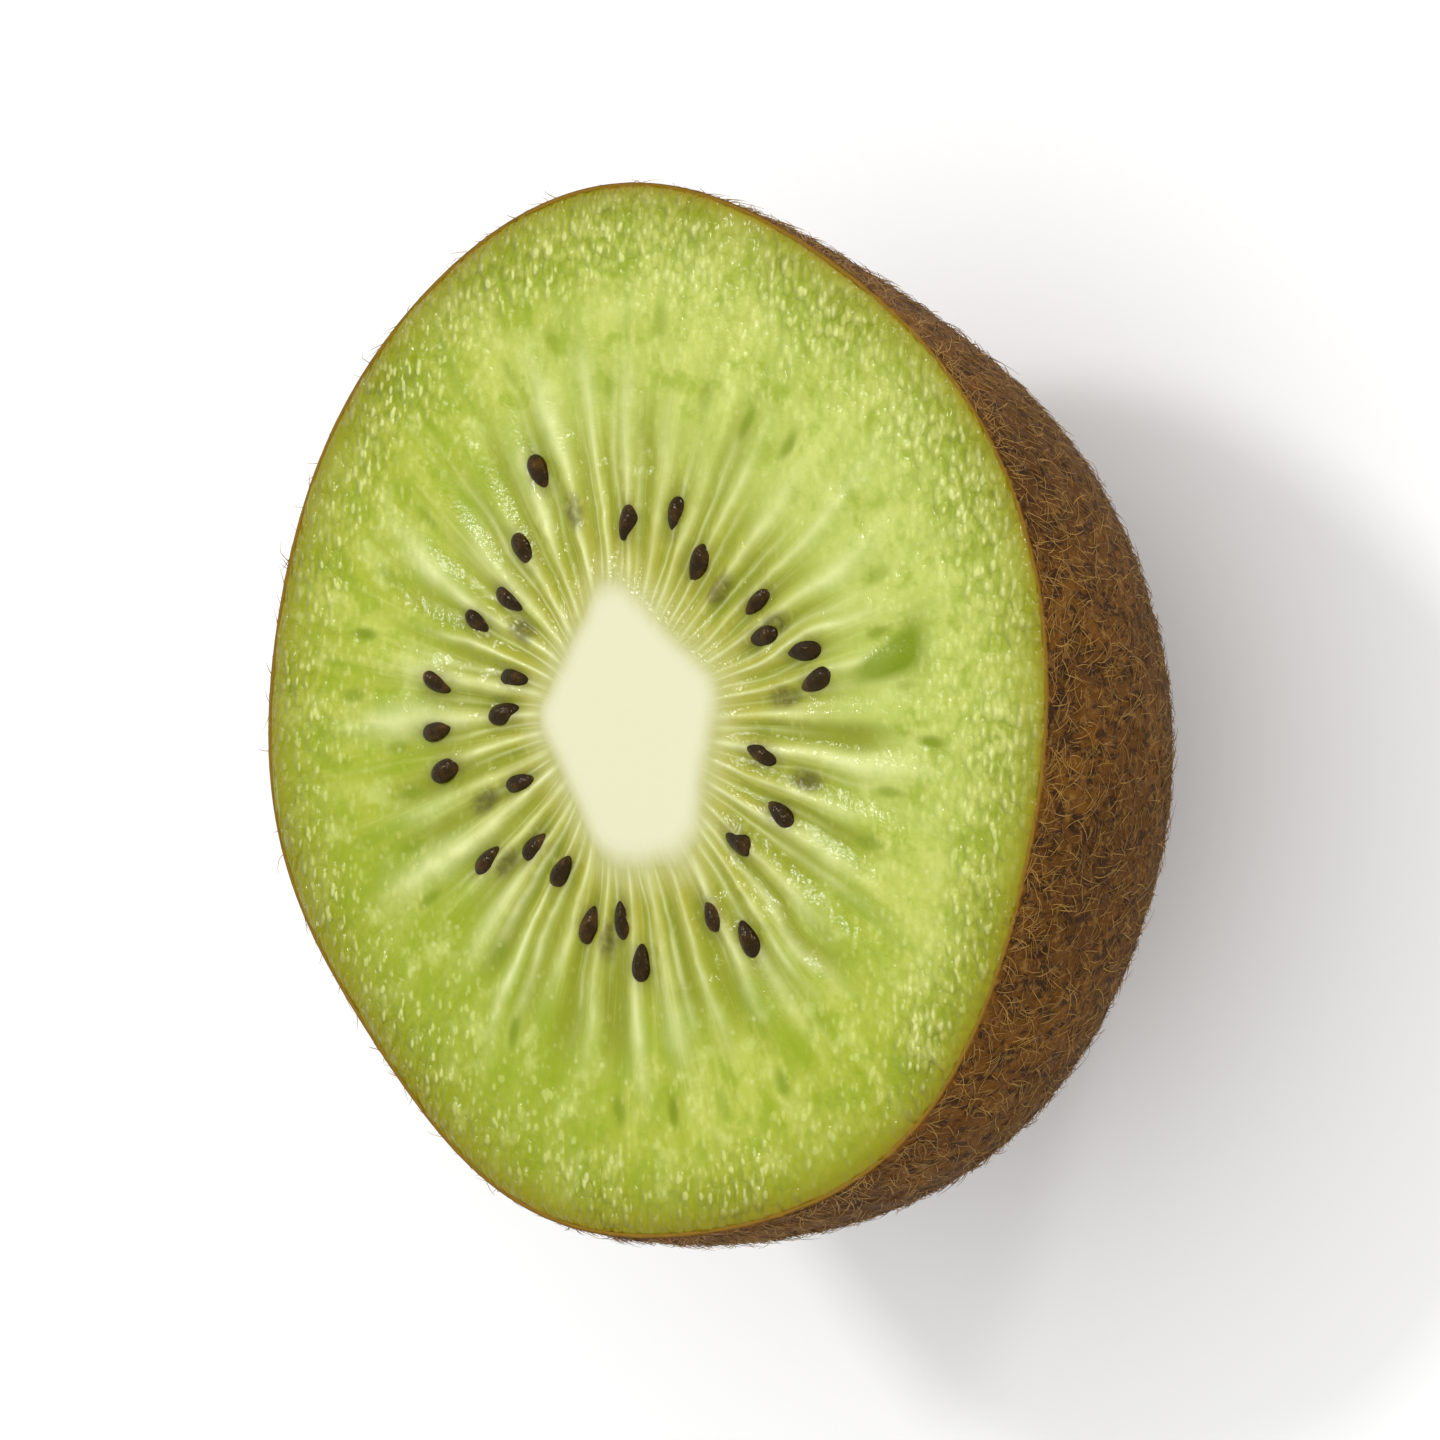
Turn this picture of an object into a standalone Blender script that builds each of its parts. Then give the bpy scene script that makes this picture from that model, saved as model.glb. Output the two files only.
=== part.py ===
"""Half of a kiwi fruit, lying on its stem scar with the cut face up.

It is one solid: the rounded skin side, the cut face with its core and the fine furrows between
its rays, and the seeds that stand out of that face. Lengths are in metres and angles in degrees.
+Z is up. Seen from above, +Y is the long way across the cut face, and angles run from +X to +Y.
"""

import math
import random

import bmesh
import bpy
from mathutils import Matrix, Vector

# The cut face: its mean radius, its height above the surface that the half lies on, and its middle.
# The fruit grew a little crooked, so the middle isn't quite above the stem scar at the origin.
FACE_RADIUS = 0.0261
FACE_HEIGHT = 0.0270
FACE_MIDDLE = Vector((-0.0003, 0.0011))

# How the outline leaves a circle: waves around it, share of the radius, direction of a crest
FACE_WAVES = ((2, 0.032, 103), (3, 0.002, 50), (4, 0.010, 14), (5, 0.009, 30), (6, 0.006, 16), (7, 0.005, 45))

# The skin side: how square its profile is, how far its belly lies to one side halfway down, and
# how its outline and surface change towards the pole
PROFILE_POWER = 2.25
PROFILE_ROOT = 2.1
BELLY = Vector((0.0003, -0.0012))
WAVES_FADE = 0.7
SKIN_SWELL = 0.00022

# The rim, where the knife left the skin's edge a little lower than the flesh
RIM_DROP = 0.0006
RIM_WIDTH = 0.00015

# The core: its middle, and the direction and distance of each of its corners
CORE_MIDDLE = FACE_MIDDLE + Vector((-0.0007, -0.0002))
CORE_CORNERS = ((17, 0.0065), (100, 0.0080), (180, 0.0062), (260, 0.0080), (300, 0.0086))
CORE_ROUNDING = 8
CORE_RISE = 0.00025

# The flesh: a slight crown over the whole face, and a furrow along each seed chamber
FACE_CROWN = 0.0004
CHAMBERS = 36
FURROW_DEPTH = 0.0002
FURROW_END = 0.78

# Seeds: size, how much narrower the end at the core is, and how far they stand out of the flesh
SEED_LENGTH = 0.0022
SEED_WIDTH = 0.0011
SEED_THICKNESS = 0.0009
SEED_TAPER = 0.32
SEED_STANDS_OUT = 0.0003

# Groups of seeds around the core: first and last direction, number of seeds, and the two places
# along their rays that they take by turns. A seeded draw then moves each of them a little.
SEED_GROUPS = (
    (9, 17, 2, 0.30, 0.27),
    (26, 37, 2, 0.16, 0.21),
    (60, 92, 3, 0.16, 0.25),
    (117, 130, 2, 0.37, 0.27),
    (142, 155, 2, 0.22, 0.31),
    (165, 184, 4, 0.13, 0.37),
    (193, 217, 3, 0.36, 0.15),
    (227, 254, 3, 0.18, 0.16),
    (267, 273, 2, 0.14, 0.24),
    (297, 304, 2, 0.17, 0.29),
    (318, 347, 3, 0.14, 0.23),
)
SEED_DRAW = 11

# The stem scar under the pole, which is the flat place that the half lies on
SCAR_RADIUS = 0.0044
SCAR_THICKNESS = 0.0004
SCAR_WAVES = ((3, 0.06, 20), (7, 0.04, 5))

# How finely the surfaces are divided
FACE_COLUMNS = 4 * CHAMBERS
SKIN_COLUMNS = 2 * CHAMBERS
SKIN_RINGS = 15
CORE_RINGS = (0.55, 1.0)
FACE_RINGS = (0.05, 0.12, 0.22, 0.34, 0.48, 0.62, 0.76, 0.90, 1.0)
SEED_SIDES = 8
SEED_RINGS = 4

# Colour, roughness of each material
LOOKS = {
    "skin": ((0.235, 0.150, 0.075), 0.90),
    "flesh": ((0.400, 0.560, 0.070), 0.30),
    "core": ((0.800, 0.800, 0.460), 0.45),
    "seed": ((0.020, 0.010, 0.008), 0.25),
    "scar": ((0.330, 0.220, 0.100), 0.85),
}
MATERIAL_ORDER = tuple(LOOKS)


def waved(angle, waves):
    """1, plus the waves that run around an outline at this angle."""
    return 1 + sum(share * math.cos(math.radians(count * (angle - crest))) for count, share, crest in waves)


def heading(angle):
    """The unit vector of an angle, seen from above."""
    return Vector((math.cos(math.radians(angle)), math.sin(math.radians(angle))))


def smooth(low, high, value):
    """0 below low, 1 above high, and an even S between them."""
    share = min(max((value - low) / (high - low), 0), 1)
    return share * share * (3 - 2 * share)


def face_edge(angle):
    """A point of the flesh's outline on the cut face."""
    return FACE_MIDDLE + heading(angle) * (FACE_RADIUS * waved(angle, FACE_WAVES) - RIM_WIDTH)


def core_side(angle):
    """The distance from the core's middle to its straight side in this direction."""
    for (first, near), (second, far) in zip(CORE_CORNERS, CORE_CORNERS[1:] + CORE_CORNERS[:1]):
        span = (second - first) % 360
        past = (angle - first) % 360
        if past <= span:
            a, b = heading(first) * near, heading(second) * far
            side = b - a
            ahead = heading(angle)
            return a.cross(side) / ahead.cross(side)


def core_edge(angle):
    """A point of the core's outline, its corners rounded by averaging over nearby directions."""
    turns = (-1, -0.5, 0, 0.5, 1)
    reach = sum(core_side(angle + turn * CORE_ROUNDING) for turn in turns) / len(turns)
    return CORE_MIDDLE + heading(angle) * reach


def face_height(angle, share):
    """The height of the cut face on the ray at this angle, 0 at the core's edge and 1 at the flesh's."""
    crown = FACE_CROWN * (1 - max(share, 0) ** 3)
    plateau = CORE_RISE * (1 - smooth(-0.1, 0.08, share))
    chamber = 0.5 - 0.5 * math.cos(math.radians(CHAMBERS * angle))
    along = smooth(0, 0.12, share) * (1 - smooth(0.45, FURROW_END, share))
    return FACE_HEIGHT - FACE_CROWN + crown + plateau - FURROW_DEPTH * chamber * along


def face_point(angle, share):
    """A point of the cut face between the core's edge and the flesh's outline."""
    flat = core_edge(angle).lerp(face_edge(angle), share)
    return flat.to_3d() + Vector((0, 0, face_height(angle, share)))


def core_point(angle, share):
    """A point on top of the core, from its middle at 0 to its edge at 1."""
    flat = CORE_MIDDLE.lerp(core_edge(angle), share)
    return flat.to_3d() + Vector((0, 0, face_height(angle, share - 1)))


def skin_point(angle, depth):
    """A point of the skin, from the cut at depth 0 towards the pole at depth 1."""
    narrow = (1 - depth**PROFILE_POWER) ** (1 / PROFILE_ROOT)
    fade = 1 - WAVES_FADE * depth**2
    faded = [(count, share * fade, crest) for count, share, crest in FACE_WAVES]
    swell = math.sin(math.radians(3 * angle + 200 * depth)) + math.sin(math.radians(5 * angle - 330 * depth))
    reach = FACE_RADIUS * waved(angle, faded) * narrow + SKIN_SWELL * swell * depth * narrow
    middle = FACE_MIDDLE * (1 - depth) + BELLY * math.sin(math.pi * depth)
    flat = middle + heading(angle) * reach
    cut_height = FACE_HEIGHT - RIM_DROP
    pole_height = SCAR_THICKNESS
    return flat.to_3d() + Vector((0, 0, cut_height + (pole_height - cut_height) * depth))


def depth_at_radius(radius):
    """The depth at which the skin has narrowed to this radius."""
    return (1 - (radius / FACE_RADIUS) ** PROFILE_ROOT) ** (1 / PROFILE_POWER)


def scar_point(angle, height, share=1.0):
    """A point of the stem scar's edge at this height."""
    flat = heading(angle) * SCAR_RADIUS * waved(angle, SCAR_WAVES) * share
    return flat.to_3d() + Vector((0, 0, height))


def angles(count):
    """Evenly spaced directions around the axis."""
    return [360 * i / count for i in range(count)]


def add_ring(mesh, point, count):
    """The vertices that point(angle) gives around the axis."""
    return [mesh.verts.new(point(angle)) for angle in angles(count)]


def add_band(mesh, inner, outer, material, underside=False):
    """Faces between two rings, seen from above or from the underside. The outer may have twice the vertices."""
    ratio = len(outer) // len(inner)
    for i in range(len(inner)):
        a, b = inner[i], inner[(i + 1) % len(inner)]
        c, d = outer[ratio * i], outer[ratio * (i + 1) % len(outer)]
        if ratio == 1:
            faces = [(a, c, d, b)]
        else:
            middle = outer[ratio * i + 1]
            faces = [(a, c, middle), (a, middle, b), (b, middle, d)]
        for corners in faces:
            face = mesh.faces.new(corners[::-1] if underside else corners)
            face.material_index = MATERIAL_ORDER.index(material)


def add_fan(mesh, middle, ring, material):
    """Triangles from one vertex to a ring around it."""
    for i, vertex in enumerate(ring):
        face = mesh.faces.new((middle, vertex, ring[(i + 1) % len(ring)]))
        face.material_index = MATERIAL_ORDER.index(material)


def add_cut_face(mesh):
    """The core and the flesh around it. Gives back the flesh's outline."""
    middle = mesh.verts.new(core_point(0, 0))
    inner = None
    for share in CORE_RINGS:
        ring = add_ring(mesh, lambda angle, share=share: core_point(angle, share), FACE_COLUMNS)
        if inner:
            add_band(mesh, inner, ring, "core")
        else:
            add_fan(mesh, middle, ring, "core")
        inner = ring
    for share in FACE_RINGS:
        ring = add_ring(mesh, lambda angle, share=share: face_point(angle, share), FACE_COLUMNS)
        add_band(mesh, inner, ring, "flesh")
        inner = ring
    return inner


def add_skin(mesh, flesh_outline):
    """The skin from the rim down to the stem scar. Gives back its last ring."""
    upper = add_ring(mesh, lambda angle: skin_point(angle, 0), FACE_COLUMNS)
    add_band(mesh, flesh_outline, upper, "skin")
    deepest = depth_at_radius(1.35 * SCAR_RADIUS)
    for i in range(1, SKIN_RINGS + 1):
        depth = deepest * math.sin(math.radians(90 * i / SKIN_RINGS))
        ring = add_ring(mesh, lambda angle, depth=depth: skin_point(angle, depth), SKIN_COLUMNS)
        add_band(mesh, ring, upper, "skin", underside=True)
        upper = ring
    return upper


def add_scar(mesh, skin_end):
    """The woody disc at the pole, with a flat underside at height 0."""
    shoulder = add_ring(mesh, lambda angle: scar_point(angle, SCAR_THICKNESS * 0.9, 1.06), SKIN_COLUMNS)
    edge = add_ring(mesh, lambda angle: scar_point(angle, 0), SKIN_COLUMNS)
    add_band(mesh, shoulder, skin_end, "scar", underside=True)
    add_band(mesh, edge, shoulder, "scar", underside=True)
    middle = mesh.verts.new((0, 0, 0))
    add_fan(mesh, middle, edge[::-1], "scar")


def make_materials(obj):
    """One Principled material for each kind of tissue."""
    for name, (colour, roughness) in LOOKS.items():
        material = bpy.data.materials.new(name)
        material.use_nodes = True
        shader = material.node_tree.nodes["Principled BSDF"]
        shader.inputs["Base Color"].default_value = (*colour, 1)
        shader.inputs["Roughness"].default_value = roughness
        obj.data.materials.append(material)


def new_object(name, bm, collection):
    """An object with this mesh, its materials and smooth shading."""
    data = bpy.data.meshes.new(name)
    bm.normal_update()
    bm.to_mesh(data)
    bm.free()
    data.shade_smooth()
    obj = bpy.data.objects.new(name, data)
    collection.objects.link(obj)
    make_materials(obj)
    return obj


def make_fruit():
    """The half without its seeds."""
    bm = bmesh.new()
    outline = add_cut_face(bm)
    add_scar(bm, add_skin(bm, outline))
    return new_object("kiwi_half", bm, bpy.context.scene.collection)


def seed_places():
    """Where each seed lies: its ray's angle, its place along the ray, its turn and its size."""
    draw = random.Random(SEED_DRAW)
    for first, last, count, one, other in SEED_GROUPS:
        for i in range(count):
            angle = first + (last - first) * i / (count - 1) + draw.uniform(-1, 1)
            share = (other if i % 2 else one) + draw.uniform(-0.015, 0.015)
            yield angle, share, draw.uniform(-18, 18), draw.uniform(0.88, 1.06)


def make_seed(angle, share, turn, size, collection):
    """A drop-shaped seed lying in the cut face, its narrow end towards the core."""
    bm = bmesh.new()
    bmesh.ops.create_uvsphere(
        bm, u_segments=SEED_SIDES, v_segments=SEED_RINGS, radius=0.5, matrix=Matrix.Rotation(math.pi / 2, 4, "Y")
    )
    for vertex in bm.verts:
        narrow = 1 - SEED_TAPER * (0.5 - vertex.co.x)
        vertex.co.x *= SEED_LENGTH * size
        vertex.co.y *= SEED_WIDTH * size * narrow
        vertex.co.z *= SEED_THICKNESS * size * narrow
    for face in bm.faces:
        face.material_index = MATERIAL_ORDER.index("seed")
    place = face_point(angle, share)
    place.z += SEED_STANDS_OUT - SEED_THICKNESS * size / 2
    outwards = (face_edge(angle) - core_edge(angle)).angle_signed(Vector((1, 0)))
    bm.transform(Matrix.Translation(place) @ Matrix.Rotation(outwards + math.radians(turn), 4, "Z"))
    return new_object("seed", bm, collection)


def fuse(body, pieces):
    """Joins every object of a collection to the body, and removes them."""
    union = body.modifiers.new("fuse", "BOOLEAN")
    union.operation = "UNION"
    union.solver = "EXACT"
    union.operand_type = "COLLECTION"
    union.collection = pieces
    graph = bpy.context.evaluated_depsgraph_get()
    joined = bpy.data.meshes.new_from_object(body.evaluated_get(graph))
    body.modifiers.remove(union)
    body.data = joined
    for obj in list(pieces.objects):
        bpy.data.objects.remove(obj)
    bpy.data.collections.remove(pieces)


def main():
    for obj in list(bpy.data.objects):
        bpy.data.objects.remove(obj)
    fruit = make_fruit()
    seeds = bpy.data.collections.new("seeds")
    bpy.context.scene.collection.children.link(seeds)
    for angle, share, turn, size in seed_places():
        make_seed(angle, share, turn, size, seeds)
    fuse(fruit, seeds)


main()
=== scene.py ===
"""Looks of the kiwi half: flesh, skin, seeds, stem scar and hairs, with floor, light and camera.

Lengths are in metres, angles in degrees. Seen from above, angles run from +X to +Y. The form
repeats the solid's named sizes, so each piece stays where the solid is.
"""

import itertools
import math
import random

import bpy
import numpy as np
from mathutils import Matrix, Vector

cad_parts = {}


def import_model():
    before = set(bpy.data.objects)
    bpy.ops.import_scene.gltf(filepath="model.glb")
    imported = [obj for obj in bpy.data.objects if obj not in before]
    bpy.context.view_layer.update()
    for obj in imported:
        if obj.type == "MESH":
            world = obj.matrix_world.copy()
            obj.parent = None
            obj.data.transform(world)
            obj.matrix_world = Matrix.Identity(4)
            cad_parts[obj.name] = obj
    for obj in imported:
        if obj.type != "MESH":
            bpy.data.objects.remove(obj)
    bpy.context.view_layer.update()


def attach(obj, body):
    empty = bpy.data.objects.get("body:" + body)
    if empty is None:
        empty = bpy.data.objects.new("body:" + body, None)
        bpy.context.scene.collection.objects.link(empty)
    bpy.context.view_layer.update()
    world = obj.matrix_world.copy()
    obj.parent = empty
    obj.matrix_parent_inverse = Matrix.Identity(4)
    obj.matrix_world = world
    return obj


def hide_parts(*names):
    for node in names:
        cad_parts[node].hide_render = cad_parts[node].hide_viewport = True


# The cut face and the skin side, as in the solid
FACE_RADIUS = 0.0261
FACE_HEIGHT = 0.0270
FACE_MIDDLE = np.array((-0.0003, 0.0011))
# How often each wave goes around the outline, its share of the radius and the angle of a crest
FACE_WAVES = (
    (2, 0.032, 103),
    (3, 0.002, 50),
    (4, 0.010, 14),
    (5, 0.009, 30),
    (6, 0.006, 16),
    (7, 0.005, 45),
)
FACE_CROWN = 0.0004
PROFILE_POWER = 2.25
PROFILE_ROOT = 2.1
BELLY = np.array((0.0003, -0.0012))
WAVES_FADE = 0.7
SKIN_SWELL = 0.00022
RIM_DROP = 0.0006
RIM_WIDTH = 0.00015

# The core and the seed chambers around it
CORE_MIDDLE = FACE_MIDDLE + np.array((-0.0007, -0.0002))
# The angle and distance of each corner
CORE_CORNERS = ((17, 0.0065), (100, 0.0080), (180, 0.0062), (260, 0.0080), (300, 0.0086))
CORE_ROUNDING = 8
CORE_RISE = 0.00025
CHAMBERS = 36
FURROW_DEPTH = 0.0002
FURROW_END = 0.78

# Mean distances from the core's middle to its edge, and from there to the rim
CORE_REACH = 0.0075
FLESH_WIDTH = 0.0175

# Seeds, in the same groups and draw as in the solid
SEED_LENGTH = 0.0022
SEED_WIDTH = 0.0011
SEED_THICKNESS = 0.0009
SEED_STANDS_OUT = 0.0003
# Each group's first and last angle, how many seeds, and their two places in turn along the ray
SEED_GROUPS = (
    (9, 17, 2, 0.30, 0.27),
    (26, 37, 2, 0.16, 0.21),
    (60, 92, 3, 0.16, 0.25),
    (117, 130, 2, 0.37, 0.27),
    (142, 155, 2, 0.22, 0.31),
    (165, 184, 4, 0.13, 0.37),
    (193, 217, 3, 0.36, 0.15),
    (227, 254, 3, 0.18, 0.16),
    (267, 273, 2, 0.14, 0.24),
    (297, 304, 2, 0.17, 0.29),
    (318, 347, 3, 0.14, 0.23),
)
SEED_DRAW = 11

# Seeds that lie just under the surface and show as dim smudges: direction, place along the ray
SUNK_SEEDS = (
    (6, 0.20),
    (27, 0.22),
    (49, 0.16),
    (110, 0.22),
    (148, 0.16),
    (204, 0.27),
    (222, 0.30),
    (262, 0.20),
    (344, 0.30),
)
SMUDGE_LENGTH = 0.00125
SMUDGE_WIDTH = 0.00070

# Dark pockets between the rays: how wide they are, how long as a share of the ray, and how common
POCKET_WIDTH = 0.00036
POCKET_LENGTH = 0.045
POCKET_CHANCE = 0.7

# The one large pocket: direction, place and length along the ray, distance from the core's middle, width
LARGE_POCKET_ANGLE = 10
LARGE_POCKET_PLACE = 0.54
LARGE_POCKET_LENGTH = 0.12
LARGE_POCKET_REACH = 0.0165
LARGE_POCKET_WIDTH = 0.0010

# The side of the flesh's painted light, with painted shade opposite, and the draw of its rays and chambers
PAINTED_LIGHT_SIDE = 45
CHAMBER_DRAW = 7

# The flesh's hidden underside: how far inside the skin, and the depths of its rings
UNDERSIDE_INSET = 0.00035
UNDERSIDE_DEPTHS = (0.015, 0.08, 0.18, 0.30, 0.45, 0.60, 0.74, 0.86, 0.94, 0.98)

# The skin: how thick, where it starts around the scar, and its middle, from which bumps stand out
SKIN_THICKNESS = 0.0006
SKIN_START = 0.9
SKIN_INSIDE = (0, 0, 0.012)
# The circle on which the raggedness of its cut edge is read
EDGE_CIRCLE = 0.026

# The stem scar, with dents and a pit in its underside
SCAR_RADIUS = 0.0044
SCAR_THICKNESS = 0.0004
SCAR_WAVES = ((3, 0.06, 20), (7, 0.04, 5))
SCAR_TOP = 0.0012
# Reach and height of the rings around its top and rim
SCAR_RINGS = ((0.5, 0.0011), (1.05, 0.0009), (1.12, 0.00055), (1.02, 0.00016))
SCAR_DENT = 0.00018
SCAR_PIT = 0.00035
SCAR_PIT_MIDDLE = 0.0004
SCAR_DRAW = 5

# Hairs: how deep they root in the skin, and how near they come to the floor and the cut face
HAIR_ROOT = 0.00008
HAIR_LOWEST = 0.00012
HAIR_HIGHEST = FACE_HEIGHT - 0.0001

# How finely the pieces are divided
FLESH_COLUMNS = 960
CORE_RINGS = 14
FLESH_RINGS = 116
SKIN_COLUMNS = 480
SKIN_RINGS = 100
SKIN_INNER_RINGS = 12
SCAR_COLUMNS = 144
SCAR_UNDERSIDE_RINGS = 12
SEED_COLUMNS = 20
SEED_RINGS = 14
ROOT_STEPS = 400

# Camera: its lean from the face's normal, its distance, where it looks and the width it sees there
VIEW_LEAN = 38
VIEW_DISTANCE = 0.45
VIEW_TARGET = Vector((-0.0004, 0.0008, 0.0202))
VIEW_WIDTH = 0.0745
SENSOR_WIDTH = 36

FLOOR_REACH = 1.5
WORLD_STRENGTH = 0.90


def srgb(red, green, blue):
    """A linear colour from 0-255 display values."""
    parts = [value / 255 for value in (red, green, blue)]
    return tuple(p / 12.92 if p <= 0.04045 else ((p + 0.055) / 1.055) ** 2.4 for p in parts) + (1.0,)


# Form

def waved(angle, waves, fade=1.0):
    """1, plus the waves that run around an outline."""
    total = sum(share * np.cos(np.radians(count * (angle - crest))) for count, share, crest in waves)
    return 1 + fade * total


def heading(angle):
    """Unit vectors of angles, seen from above."""
    return np.stack((np.cos(np.radians(angle)), np.sin(np.radians(angle))), axis=-1)


def unit(vectors):
    """Vectors brought to the length 1."""
    return vectors / np.linalg.norm(vectors, axis=-1)[..., None]


def smooth(low, high, value):
    """0 before low, 1 past high, and an even S between them. High may be the smaller one."""
    share = np.clip((value - low) / (high - low), 0, 1)
    return share * share * (3 - 2 * share)


def around(columns):
    """Evenly spaced angles of a whole turn."""
    return np.arange(columns) * 360 / columns


def face_edge(angle):
    """The flesh's outline on the cut face."""
    reach = FACE_RADIUS * waved(angle, FACE_WAVES) - RIM_WIDTH
    return FACE_MIDDLE + heading(angle) * reach[..., None]


def core_side(angle):
    """The distance from the core's middle to its straight sides."""
    reach = np.zeros_like(angle)
    for (first, near), (second, far) in zip(CORE_CORNERS, CORE_CORNERS[1:] + CORE_CORNERS[:1]):
        inside = (angle - first) % 360 <= (second - first) % 360
        a, b = heading(np.float64(first)) * near, heading(np.float64(second)) * far
        side = b - a
        ahead = heading(angle)
        cross = ahead[..., 0] * side[1] - ahead[..., 1] * side[0]
        reach = np.where(inside, (a[0] * side[1] - a[1] * side[0]) / cross, reach)
    return reach


def core_edge(angle):
    """The core's outline with rounded corners."""
    turns = (-1, -0.5, 0, 0.5, 1)
    reach = sum(core_side(angle + turn * CORE_ROUNDING) for turn in turns) / len(turns)
    return CORE_MIDDLE + heading(angle) * reach[..., None]


def face_height(angle, share):
    """The solid's cut face: crown, core and the furrows along the seed chambers."""
    crown = FACE_CROWN * (1 - np.maximum(share, 0) ** 3)
    plateau = CORE_RISE * (1 - smooth(-0.1, 0.08, share))
    chamber = 0.5 - 0.5 * np.cos(np.radians(CHAMBERS * angle))
    along = smooth(0, 0.12, share) * (1 - smooth(0.45, FURROW_END, share))
    return FACE_HEIGHT - FACE_CROWN + crown + plateau - FURROW_DEPTH * chamber * along


def face_point(angle, share):
    """Points of the cut face. The share is -1 at the core's middle, 0 at its edge and 1 at the rim."""
    edge = core_edge(angle)
    outside = np.maximum(share, 0)[..., None]
    inside = np.minimum(share, 0)[..., None]
    flat = edge + (face_edge(angle) - edge) * outside + (edge - CORE_MIDDLE) * inside
    return np.concatenate((flat, face_height(angle, share)[..., None]), axis=-1)


def ray_place(angle, share):
    """One point of the cut face, and the unit vector outwards along its ray."""
    angle, share = np.float64(angle), np.float64(share)
    return face_point(angle, share), unit(face_edge(angle) - core_edge(angle))


def skin_point(angle, depth, inset=0.0):
    """Points of the skin, from the cut at depth 0 to the pole at depth 1, or this far inside it."""
    narrow = (1 - depth**PROFILE_POWER) ** (1 / PROFILE_ROOT)
    swell = np.sin(np.radians(3 * angle + 200 * depth)) + np.sin(np.radians(5 * angle - 330 * depth))
    reach = FACE_RADIUS * waved(angle, FACE_WAVES, 1 - WAVES_FADE * depth**2) * narrow
    reach = reach + SKIN_SWELL * swell * depth * narrow - inset
    middle = FACE_MIDDLE * (1 - depth)[..., None] + BELLY * np.sin(math.pi * depth)[..., None]
    flat = middle + heading(angle) * reach[..., None]
    cut_height = FACE_HEIGHT - RIM_DROP
    height = cut_height + (SCAR_THICKNESS - cut_height) * depth + inset * smooth(0.5, 1, depth)
    return np.concatenate((flat, height[..., None]), axis=-1)


def depth_at_radius(radius):
    """The depth at which the skin has narrowed to this radius."""
    return (1 - (radius / FACE_RADIUS) ** PROFILE_ROOT) ** (1 / PROFILE_POWER)


# Noise

def lattice(x, y, z, seed):
    """A repeatable number from 0 to 1 for each whole-numbered place."""
    mixed = (x * 73856093) ^ (y * 19349663) ^ (z * 83492791) ^ (seed * 15485863)
    mixed = (mixed ^ (mixed >> 13)) * 1274126177
    mixed = mixed ^ (mixed >> 16)
    return (mixed & 0xFFFF) / 65535


def noise(points, size, seed):
    """Even noise from -1 to 1, with lumps of this size."""
    scaled = points / size
    corner = np.floor(scaled).astype(np.int64)
    part = scaled - corner
    part = part * part * (3 - 2 * part)
    total = 0
    for step in itertools.product((0, 1), repeat=3):
        weight = np.where(step, part, 1 - part).prod(axis=-1)
        x, y, z = np.moveaxis(corner + step, -1, 0)
        total = total + weight * lattice(x, y, z, seed)
    return 2 * total - 1


# Meshes

def make_mesh(name, points, faces, attributes, material):
    """A smooth mesh object. Faces is a list of arrays, each with the 3 or 4 points of its faces."""
    mesh = bpy.data.meshes.new(name)
    faces = [np.asarray(rows, dtype=np.int32) for rows in faces]
    corners = np.concatenate([rows.ravel() for rows in faces])
    sizes = np.concatenate([np.full(len(rows), rows.shape[1], dtype=np.int32) for rows in faces])
    starts = np.concatenate(([0], np.cumsum(sizes)[:-1])).astype(np.int32)
    mesh.vertices.add(len(points))
    mesh.vertices.foreach_set("co", np.asarray(points, dtype=np.float32).ravel())
    mesh.loops.add(len(corners))
    mesh.loops.foreach_set("vertex_index", corners)
    mesh.polygons.add(len(sizes))
    mesh.polygons.foreach_set("loop_start", starts)
    mesh.update(calc_edges=True)
    mesh.shade_smooth()
    mesh.materials.append(material)
    for label, values in attributes.items():
        kind, field = ("FLOAT_VECTOR", "vector") if values.ndim == 2 else ("FLOAT", "value")
        layer = mesh.attributes.new(label, kind, "POINT")
        layer.data.foreach_set(field, values.astype(np.float32).ravel())
    obj = bpy.data.objects.new(name, mesh)
    bpy.context.scene.collection.objects.link(obj)
    return obj


def ring_faces(rings, columns, first=0):
    """Quads between rings of points that follow each other."""
    row = np.arange(columns)
    after = (row + 1) % columns
    bands = []
    for ring in range(rings - 1):
        low, high = first + ring * columns, first + (ring + 1) * columns
        bands.append(np.stack((low + row, high + row, high + after, low + after), axis=1))
    return np.concatenate(bands)


def cap_faces(middle, ring_start, columns, flip=False):
    """Triangles from one point to a ring, turned over where flip is set."""
    row = ring_start + np.arange(columns)
    after = ring_start + (np.arange(columns) + 1) % columns
    sides = (after, row) if flip else (row, after)
    return np.stack((np.full(columns, middle), *sides), axis=1)


# Materials

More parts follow.
